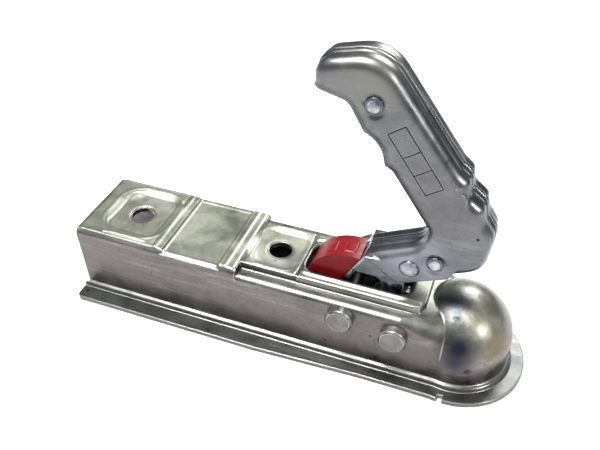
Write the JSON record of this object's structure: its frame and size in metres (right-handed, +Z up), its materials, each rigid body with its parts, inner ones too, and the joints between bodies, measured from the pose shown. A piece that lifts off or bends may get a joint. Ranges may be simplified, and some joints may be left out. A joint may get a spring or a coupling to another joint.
{
  "type": "trailer coupling head",
  "caption": "Pressed steel trailer coupling head for a 50 mm ball, with a raised clamping handle and a red indicator in its slot.",
  "frame": {"origin": "centre of the ball socket", "axes": "+X to the nose, +Z up"},
  "size_m": [0.2656, 0.081, 0.1781],
  "materials": {
    "zinc_shell": "zinc plated, satin, slightly worn",
    "zinc_handle": "zinc plated, satin, bluish",
    "zinc_rivet": "zinc plated",
    "zinc_lever": "zinc plated, satin",
    "red_plastic": "semi gloss",
    "bolt_steel": "zinc plated, dull",
    "spring_steel": "oiled spring steel"
  },
  "bodies": {
    "housing": {"housing": "zinc_shell", "front_bolt": "bolt_steel", "front_sleeve": "bolt_steel", "front_spacer_near": "bolt_steel", "front_spacer_far": "bolt_steel", "front_washer": "bolt_steel", "front_locknut": "bolt_steel", "rear_bolt": "bolt_steel", "rear_washer": "bolt_steel", "rear_locknut": "bolt_steel"},
    "handle": {"handle_shell_near": "zinc_handle", "handle_shell_far": "zinc_handle", "grip_rivet": "zinc_rivet", "heel_rivet": "zinc_rivet", "pivot_rivet": "zinc_rivet", "clamp_lever": "zinc_lever", "indicator": "red_plastic", "ball_jaw": "zinc_lever", "jaw_rivet_front": "zinc_rivet", "jaw_rivet_rear": "zinc_rivet", "main_spring": "spring_steel"},
    "catch": {"release_catch": "zinc_lever", "catch_spring": "spring_steel"}
  },
  "joints": [
    {"name": "handle_pivot", "type": "hinge", "parent": "housing", "child": "handle", "pos_m": [-0.032, 0, 0.0115], "axis": [0, -1, 0], "range_deg": [0, 25], "deforming": ["main_spring"]},
    {"name": "catch_pivot", "type": "hinge", "parent": "handle", "child": "catch", "pos_m": [-0.0315, 0, 0.0465], "axis": [0, -1, 0], "range_deg": [0, 5], "stiffness_Nm_per_rad": 1, "deforming": ["catch_spring"]}
  ]
}
